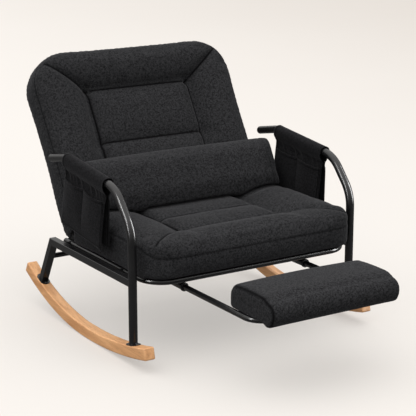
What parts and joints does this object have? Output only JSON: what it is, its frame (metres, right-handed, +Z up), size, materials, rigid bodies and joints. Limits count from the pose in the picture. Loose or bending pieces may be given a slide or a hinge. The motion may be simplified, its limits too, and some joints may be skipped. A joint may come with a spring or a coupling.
{
  "type": "reclining_rocking_chair",
  "caption": "Reclining rocking chair with black tube frame, oak rockers, charcoal bolstered cushions, lumbar pillow, sling side pockets and pull-out footrest",
  "frame": {"origin": "on the floor in the middle plane, on the line where the rockers touch the floor", "axes": "+Z up, the sitter faces -Y, +X is the sitter's left"},
  "size_m": [0.9158, 1.3685, 0.8826],
  "materials": {
    "charcoal_fabric": "matte",
    "webbing": "matte",
    "black_steel": "satin",
    "oak": "satin",
    "plywood": "matte",
    "black_plastic": "matte",
    "steel_fasteners": "satin"
  },
  "bodies": {
    "root": {"arm_end_caps": "black_plastic", "arm_tube_left": "black_steel", "arm_tube_right": "black_steel", "armrest_pocket_left": "charcoal_fabric", "armrest_pocket_right": "charcoal_fabric", "foot_plate_screws": "steel_fasteners", "front_foot_plate_left": "black_steel", "front_foot_plate_right": "black_steel", "guide_bushes": "black_plastic", "guide_hangers": "black_steel", "guide_tube_left": "black_steel", "guide_tube_right": "black_steel", "hinge_pins": "steel_fasteners", "hinge_seat_leaf_left": "black_steel", "hinge_seat_leaf_right": "black_steel", "rear_cross_bar": "black_steel", "rear_foot_plate_left": "black_steel", "rear_foot_plate_right": "black_steel", "rear_leg_left": "black_steel", "rear_leg_right": "black_steel", "rocker_left": "oak", "rocker_right": "oak", "seat_bolts": "steel_fasteners", "seat_cushion": "charcoal_fabric", "seat_frame": "black_steel", "seat_frame_plugs": "black_plastic", "seat_front_bar": "black_steel", "seat_middle_bar": "black_steel", "seat_rear_bar": "black_steel", "seat_standoffs": "black_steel", "seat_webbing": "webbing", "side_rail_left": "black_steel", "side_rail_right": "black_steel"},
    "back": {"back_frame": "black_steel", "back_bars": "black_steel", "hinge_back_leaf_left": "black_steel", "hinge_back_leaf_right": "black_steel", "back_cushion": "charcoal_fabric", "back_rear_pad": "charcoal_fabric"},
    "pillow": {"lumbar_pillow": "charcoal_fabric"},
    "footrest": {"footrest_bar": "black_steel", "footrest_board": "plywood", "footrest_clips": "black_steel", "footrest_pad": "charcoal_fabric", "footrest_screws": "steel_fasteners", "footrest_tube": "black_steel", "slide_end_plugs": "black_plastic"}
  },
  "joints": [
    {"name": "back_recline", "type": "hinge", "parent": "root", "child": "back", "pos_m": [0, 0.2205, 0.335], "axis": [-1, 0, 0], "range_deg": [-15, 25]},
    {"name": "pillow_slide", "type": "slide", "parent": "back", "child": "pillow", "axis": [0, 0.518, 0.8554], "range_m": [-0.066, 0.04]},
    {"name": "footrest_slide", "type": "slide", "parent": "root", "child": "footrest", "axis": [0, 1, 0], "range_m": [0, 0.18]}
  ],
  "couplings": [
    {"joint": "pillow_slide", "follows": "back_recline", "m_per_rad": -0.147}
  ]
}
